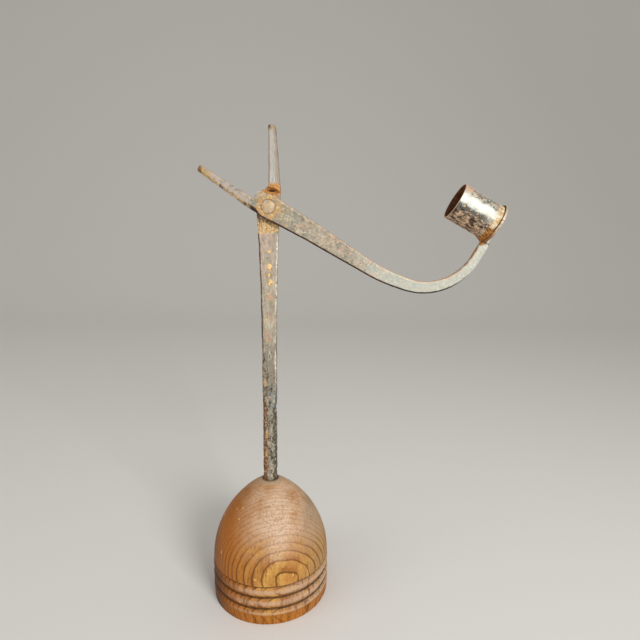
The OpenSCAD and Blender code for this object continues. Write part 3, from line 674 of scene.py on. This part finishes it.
# Sheet iron rubbed bright by hands, so that it still mirrors softly. Two rows of rust grains run along it,
# a pinkish copper film lies at its mouth and lower side, and orange rust has crept up from the disc.
sheet_iron, tree, at = new_finish("rubbed_sheet_iron")
local, x, y, z, radius = seat_measures(tree, at)
broad = speckle(tree, local, 5)
middle = speckle(tree, local, 1.8)
fine = speckle(tree, local, 0.8)
smear = speckle(tree, local, 1.6, (1, 1, 0.55), 0.3)
# Rust grains up to 1 mm across, each with a dark rim
torn = fine.node.outputs[1]
tear = add(tree, "ShaderNodeVectorMath", torn, (1.2 * MM,) * 3, local, operation="MULTIPLY_ADD")
grains = add(tree, "ShaderNodeTexVoronoi", {"Vector": tear, "Scale": 1 / (1.7 * MM)}, out="Distance")
keep = add(tree, "ShaderNodeSeparateColor", grains.node.outputs["Color"])
wander = add(tree, "ShaderNodeMath", middle, 7 * MM, x, operation="MULTIPLY_ADD")
upper_row = zone(tree, (wander, 0.0078, 0.0096), (wander, 0.0136, 0.0122), (z, 0.024, 0.019))
lower_row = zone(tree, (wander, 0.0036, 0.0012))
sown = add(tree, "ShaderNodeMath", upper_row, lower_row, operation="MAXIMUM")
sown = add(tree, "ShaderNodeMapRange", sown, 0.0, 1.0, 0.03, 0.50)
sown = zone(tree, (add(tree, "ShaderNodeMath", sown, keep, operation="SUBTRACT"), 0.0, 0.05))
creep = add(tree, "ShaderNodeMath", middle, 7 * MM, z, operation="MULTIPLY_ADD")
outside = zone(tree, (radius, 0.0101, 0.0103))
lay_coats(tree, "#dcddd2", (0.60, 0.82), (0.90, 0.0), (
    ("#c2c0b5", 0.80, 0.1, (broad, 0.42, 0.60)),
    # A dark band below the bright one: partly grey oxide, partly a painted dark reflection
    ("#56564d", 0.88, 0.2, (wander, 0.0038, 0.0014), (z, 0.000, 0.010)),
    ("#6b6559", 0.80, 0.3, upper_row, (middle, 0.42, 0.56)),
    ("#dcbf9f", 0.85, 0.8, upper_row, (smear, 0.52, 0.60)),
    ("#dfb696", 0.85, 0.6, (z, 0.0160, 0.0225), (wander, 0.0085, 0.0110), (broad, 0.34, 0.50)),
    ("#a98d74", 0.85, 0.6, (wander, 0.0006, -0.0030)),
    ("#e0bf9f", 0.85, 0.7, (wander, 0.0012, -0.0016), (smear, 0.50, 0.58)),
    ("#3a2a1e", 0.90, 0.5, (wander, 0.0020, -0.0010), (smear, 0.48, 0.41)),
    ("#2f231b", 0.80, 0.8, sown, (grains, 0.60, 0.42)),
    ("#e0b894", 0.92, 0.9, sown, (grains, 0.42, 0.26)),
    ("#d3a865", 0.85, 0.9, (creep, 0.0086, 0.0046), (smear, 0.62, 0.44)),
    ("#f4e4c0", 0.80, 0.8, (creep, 0.0090, 0.0050), (smear, 0.44, 0.54)),
    ("#a2621f", 0.85, 1.0, (creep, 0.0078, 0.0050), (wander, 0.0010, -0.0030), (smear, 0.60, 0.44)),
    ("#e0bf9e", 0.75, 0.4, (z, 0.02515, 0.0254)),
    ("#5a2f14", 1.00, 1.0, (radius, 0.0103, 0.0101)),
    ("#8a5a30", 0.70, 1.0, (radius, 0.0103, 0.0101), (z, 0.018, 0.0252), (middle, 0.40, 0.56))))
raise_marks(tree, 0.12, ((zone(tree, sown, outside, (grains, 0.44, 0.28)), 0.9), (middle, 0.25)))

# The roller: a tree that bends a flat blank into the tube, with the small dents of a long life
rolling = bpy.data.node_groups.new("rolled_sheet", "GeometryNodeTree")
given = name_inputs(rolling, "Tube", Blank="Geometry", Radius="Float", Length="Float", Seam="Float",
                    Dent_Depth="Float", Finish="Material")
blank = add(rolling, "GeometryNodeMeshGrid", 1.0, 1.0, 241, 65)
place = add(rolling, "ShaderNodeSeparateXYZ", add(rolling, "GeometryNodeInputPosition")).node.outputs
seam_turn = add(rolling, "ShaderNodeMath", given["Seam"], given["Radius"], operation="DIVIDE")
rolled_turn = add(rolling, "ShaderNodeMath", 2 * math.pi, seam_turn, operation="SUBTRACT")
turn = add(rolling, "ShaderNodeMath", place[0], rolled_turn, operation="MULTIPLY")
share = add(rolling, "ShaderNodeMath", place[1], 0.5, operation="ADD")
rise = add(rolling, "ShaderNodeMath", share, given["Length"], operation="MULTIPLY")
wall = [add(rolling, "ShaderNodeMath", turn, operation=how) for how in ("COSINE", "SINE")]
on_skin = add(rolling, "ShaderNodeCombineXYZ", wall[0], wall[1], share)
dents = add(rolling, "ShaderNodeTexNoise", {"Vector": on_skin, "Scale": 1.4, "Detail": 2.0})
pressed = add(rolling, "ShaderNodeMath", dents, given["Dent Depth"], operation="MULTIPLY")
true_r = add(rolling, "ShaderNodeMath", given["Radius"], pressed, operation="SUBTRACT")
bent = add(rolling, "ShaderNodeCombineXYZ", *[zone(rolling, true_r, way) for way in wall], rise)
shaped = add(rolling, "GeometryNodeSetPosition", {"Geometry": blank, "Position": bent})
end_tree(rolling, shaped, given["Finish"])

tube_mesh = run_tree("candle_tube", bpy.data.meshes.new("tube_blank"), rolling, {
    "Radius": SOCKET_R * MM, "Length": SOCKET_LEN * MM, "Seam": SEAM * MM, "Dent Depth": 0.2 * MM,
    "Finish": sheet_iron})
tube_mesh = run_tree("candle_tube", tube_mesh, None, {}, (
    ("SOLIDIFY", {"thickness": SHEET * MM, "offset": -1.0}),
    ("BEVEL", {"width": 0.15 * MM, "segments": 2, "limit_method": "ANGLE", "angle_limit": math.radians(50)})))
tube_mesh.transform(on_seat)
place_piece("candle_tube", tube_mesh, "swing_arm", "candle_socket")

# The disc. It is cut from thicker sheet, closes the tube's foot, and rests on the tab at the arm's end. Its
# rim catches the light, and a dark line of rust parts it from the tube.
DISC_R, DISC_T, DISC_EDGE = 11.9, 1.7, 0.25
disc_iron, tree, at = new_finish("cut_sheet_iron_disc")
local, x, y, z, radius = seat_measures(tree, at)
middle = speckle(tree, local, 2.0)
below = zone(tree, (z, -0.00140, -0.00165))
lay_coats(tree, "#cdbba0", (0.50, 0.80), (0.30, 0.0), (
    ("#a88057", 0.85, 0.8, (middle, 0.50, 0.62)),
    ("#452509", 0.95, 1.0, (z, -0.00030, -0.0001), (radius, 0.0120, 0.0114)),
    ("#85674a", 0.90, 0.7, below),
    ("#4b3422", 0.80, 0.9, below, (middle, 0.52, 0.42)),
    ("#b07d45", 0.75, 1.0, below, (speckle(tree, local, 3.2, shift=0.2), 0.52, 0.62)),
    ("#9c5f1c", 0.85, 1.0, (x, -0.0050, -0.0088))))
raise_marks(tree, 0.2, ((middle, 1.0),))
disc_points = [((DISC_R - DISC_EDGE) * i / 24, -DISC_T) for i in range(25)]
disc_points += [(DISC_R, DISC_EDGE - DISC_T + (DISC_T - 2 * DISC_EDGE) * i / 6) for i in range(7)]
disc_points += [((DISC_R - DISC_EDGE) * (1 - i / 24), 0.0) for i in range(25)]
disc_mesh = run_tree("socket_plate", outline_mesh("disc_outline", disc_points), lathe, {
    "Steps Round": 145, "Steps Along": 161, "Dent Size": 4 * MM, "Dent Depth": 0.2 * MM, "Finish": disc_iron})
disc_mesh.transform(on_seat)
place_piece("socket_plate", disc_mesh, "swing_arm", "socket_disc")

# The braze. Brass was run into the corner between tube, disc and arm, and rust has stained it orange-brown,
# rough and dull with a few yellow grains.
braze_metal, tree, at = new_finish("rust_stained_brazing")
middle = speckle(tree, at, 1.6)
lay_coats(tree, "#844a13", (0.55, 0.75), (0.20, 0.0), (
    ("#cb8b3c", 0.85, 0.6, (middle, 0.42, 0.58)),
    ("#e6bd76", 0.75, 0.5, (speckle(tree, at, 0.9, shift=0.3), 0.58, 0.68))))
raise_marks(tree, 0.3, ((middle, 1.0),))
braze_mesh = forged("braze_bead", "socket_braze", 0.16, {
    "Facet Size": 3 * MM, "Facet Depth": 0.4 * MM, "Pit Size": 1.2 * MM, "Pit Depth": 0.3 * MM,
    "Pits Below": 300 * MM, "Seed": (0.9, 0.4, 0.2), "Finish": braze_metal}, smoothing=6)
place_piece("braze_bead", braze_mesh, "swing_arm", "socket_braze", crease=60)

# The table and the light. A plain pale sweep of paper serves as table and wall under a pale sky, with a
# broad soft lamp on the right in front, hooded so that the paper beside it doesn't glare, and a weak one on
# the left.
BEND_Y, BEND_R, WALL_H, SWEEP_HALF_W = 1.0, 0.9, 4.0, 5.0
sweep = [(-3.0, 0.0)] + [(BEND_Y + BEND_R * math.sin(a), BEND_R - BEND_R * math.cos(a))
                         for a in np.linspace(0.0, math.pi / 2, 17)] + [(BEND_Y + BEND_R, WALL_H)]
table_mesh = bpy.data.meshes.new("paper_sweep")
table_mesh.from_pydata([(way * SWEEP_HALF_W, back, up) for back, up in sweep for way in (-1, 1)], [],
                       [(2 * i, 2 * i + 1, 2 * i + 3, 2 * i + 2) for i in range(len(sweep) - 1)])
table_mesh.shade_smooth()
table = bpy.data.objects.new("paper_sweep", table_mesh)
bpy.context.scene.collection.objects.link(table)
paper, tree, at = new_finish("pale_matt_paper")
for part, value in (("Base Color", linear("#f0eeea")), ("Roughness", 1.0), ("Specular IOR Level", 0.1)):
    tree.nodes["Principled BSDF"].inputs[part].default_value = value
table_mesh.materials.append(paper)

sky = bpy.data.worlds.new("pale_room")
sky.use_nodes = True
sky.node_tree.nodes["Background"].inputs["Color"].default_value = linear("#eceae6")
sky.node_tree.nodes["Background"].inputs["Strength"].default_value = 0.50
bpy.context.scene.world = sky
for name, spot, aim, size, fan_out, power in (
        ("right_lamp", (0.60, -0.90, 0.62), (0.045, 0.0, 0.14), 0.45, 100, 2.75),
        ("left_lamp", (-0.8, -0.5, 0.6), (0.0, 0.0, 0.12), 0.60, 180, 1.2)):
    lamp_data = bpy.data.lights.new(name, "AREA")
    lamp_data.size = size
    lamp_data.spread = math.radians(fan_out)
    lamp_data.energy = power
    lamp = bpy.data.objects.new(name, lamp_data)
    lamp.location = spot
    lamp.rotation_euler = (Vector(aim) - Vector(spot)).to_track_quat("-Z", "Y").to_euler()
    bpy.context.scene.collection.objects.link(lamp)
bpy.context.scene.view_settings.view_transform = "Standard"
